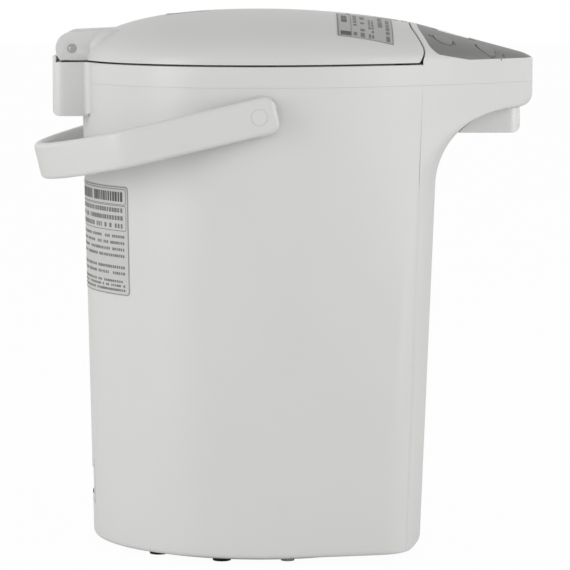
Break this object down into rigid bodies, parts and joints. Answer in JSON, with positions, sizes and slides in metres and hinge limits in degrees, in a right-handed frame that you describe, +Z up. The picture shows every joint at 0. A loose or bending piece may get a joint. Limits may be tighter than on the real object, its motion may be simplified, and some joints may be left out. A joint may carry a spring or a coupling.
{
  "type": "thermo pot",
  "caption": "Electric thermo pot with a domed hinged lid, an overhanging pump spout over a cup space, an angled control panel, a swinging bail handle and a turning base",
  "frame": {"origin": "on the table, at the foot of the axis of the round body and of the turning base", "axes": "+Z up, -Y towards the spout, +Y towards the lid hinge and the power inlet, X across the pot"},
  "size_m": [0.2372, 0.3086, 0.3294],
  "materials": {
    "shell_white": "satin white injection-moulded plastic",
    "lid_white": "satin white injection-moulded plastic",
    "handle_white": "satin white injection-moulded plastic",
    "panel_grey": "satin mid-grey film on plastic",
    "display": "dark glossy window, unlit",
    "clear_plastic": "clear moulded plastic",
    "silicone": "translucent pale silicone rubber",
    "steel": "plain stainless steel",
    "glass_wool": "glass-wool felt",
    "grey_plastic": "light-grey moulded plastic",
    "dark_plastic": "black moulded plastic",
    "board_green": "green lacquered circuit board",
    "brass_pins": "bright brass",
    "black_rubber": "matt black rubber"
  },
  "bodies": {
    "pot": {"body_shell": "shell_white", "front_cover": "shell_white", "upper_frame": "shell_white", "control_panel": "panel_grey", "display_window": "display", "spout_housing": "shell_white", "spout_nozzle": "steel", "gauge_window": "clear_plastic", "gauge_tube": "clear_plastic", "upper_pipe": "silicone", "lower_pipe": "silicone", "inner_container": "steel", "container_floor": "steel", "container_seal": "silicone", "heater_band": "steel", "thermostat": "dark_plastic", "insulation_jacket": "glass_wool", "inner_shield": "steel", "chassis_plate": "steel", "pump_housing": "grey_plastic", "pump_motor": "steel", "suction_hose": "silicone", "power_board": "board_green", "power_components": "dark_plastic", "control_board": "board_green", "tact_switches": "dark_plastic", "power_inlet": "dark_plastic", "inlet_pins": "brass_pins", "base_cover": "grey_plastic", "base_screws": "steel", "handle_bosses": "shell_white", "handle_pivots": "grey_plastic", "lid_striker": "steel"},
    "lid": {"lid_cover": "lid_white", "lid_liner": "grey_plastic", "lid_gasket": "silicone", "steam_vent": "dark_plastic", "steam_duct": "silicone", "hinge_pin": "steel", "lever_well": "lid_white", "lever_pin": "steel"},
    "lever": {"lid_lever": "lid_white"},
    "catch": {"lid_latch": "grey_plastic"},
    "handle": {"handle_bail": "handle_white"},
    "base": {"turning_base": "grey_plastic", "base_retainer": "steel", "rubber_pads": "black_rubber"},
    "rotor": {"pump_impeller": "dark_plastic"},
    "warm_key": {"warm_button": "panel_grey"},
    "lock_key": {"lock_button": "panel_grey"},
    "boil_key": {"boil_button": "panel_grey"},
    "pour_key": {"pour_button": "panel_grey"}
  },
  "joints": [
    {"name": "lid_hinge", "type": "hinge", "parent": "pot", "child": "lid", "pos_m": [0, 0.1146, 0.3062], "axis": [-1, 0, 0], "range_deg": [0, 80]},
    {"name": "lid_lever", "type": "hinge", "parent": "lid", "child": "lever", "pos_m": [0, -0.05716, 0.32312], "axis": [-1, 0, 0], "range_deg": [0, 16], "stiffness_Nm_per_rad": 0.25},
    {"name": "lid_catch", "type": "slide", "parent": "lid", "child": "catch", "axis": [0, -1, 0], "range_m": [0, 0.0035]},
    {"name": "handle_swing", "type": "hinge", "parent": "pot", "child": "handle", "pos_m": [0, 0, 0.2688], "axis": [1, 0, 0], "range_deg": [0, 103]},
    {"name": "base_turn", "type": "hinge", "parent": "pot", "child": "base", "pos_m": [0, 0, 0.005], "axis": [0, 0, 1], "continuous": true},
    {"name": "pump_turn", "type": "hinge", "parent": "pot", "child": "rotor", "pos_m": [0, -0.044, 0.03], "axis": [0, 0, 1], "continuous": true},
    {"name": "warm_press", "type": "slide", "parent": "pot", "child": "warm_key", "axis": [0.2499, 0.3125, -0.9164], "range_m": [0, 0.0012], "stiffness_N_per_m": 300},
    {"name": "lock_press", "type": "slide", "parent": "pot", "child": "lock_key", "axis": [0.2661, 0.3518, -0.8974], "range_m": [0, 0.0012], "stiffness_N_per_m": 300},
    {"name": "boil_press", "type": "slide", "parent": "pot", "child": "boil_key", "axis": [-0.2499, 0.3125, -0.9164], "range_m": [0, 0.0012], "stiffness_N_per_m": 300},
    {"name": "pour_press", "type": "slide", "parent": "pot", "child": "pour_key", "axis": [-0.2661, 0.3518, -0.8974], "range_m": [0, 0.0012], "stiffness_N_per_m": 300}
  ],
  "couplings": [
    {"joint": "lid_catch", "follows": "lid_lever", "m_per_rad": 0.0125}
  ]
}
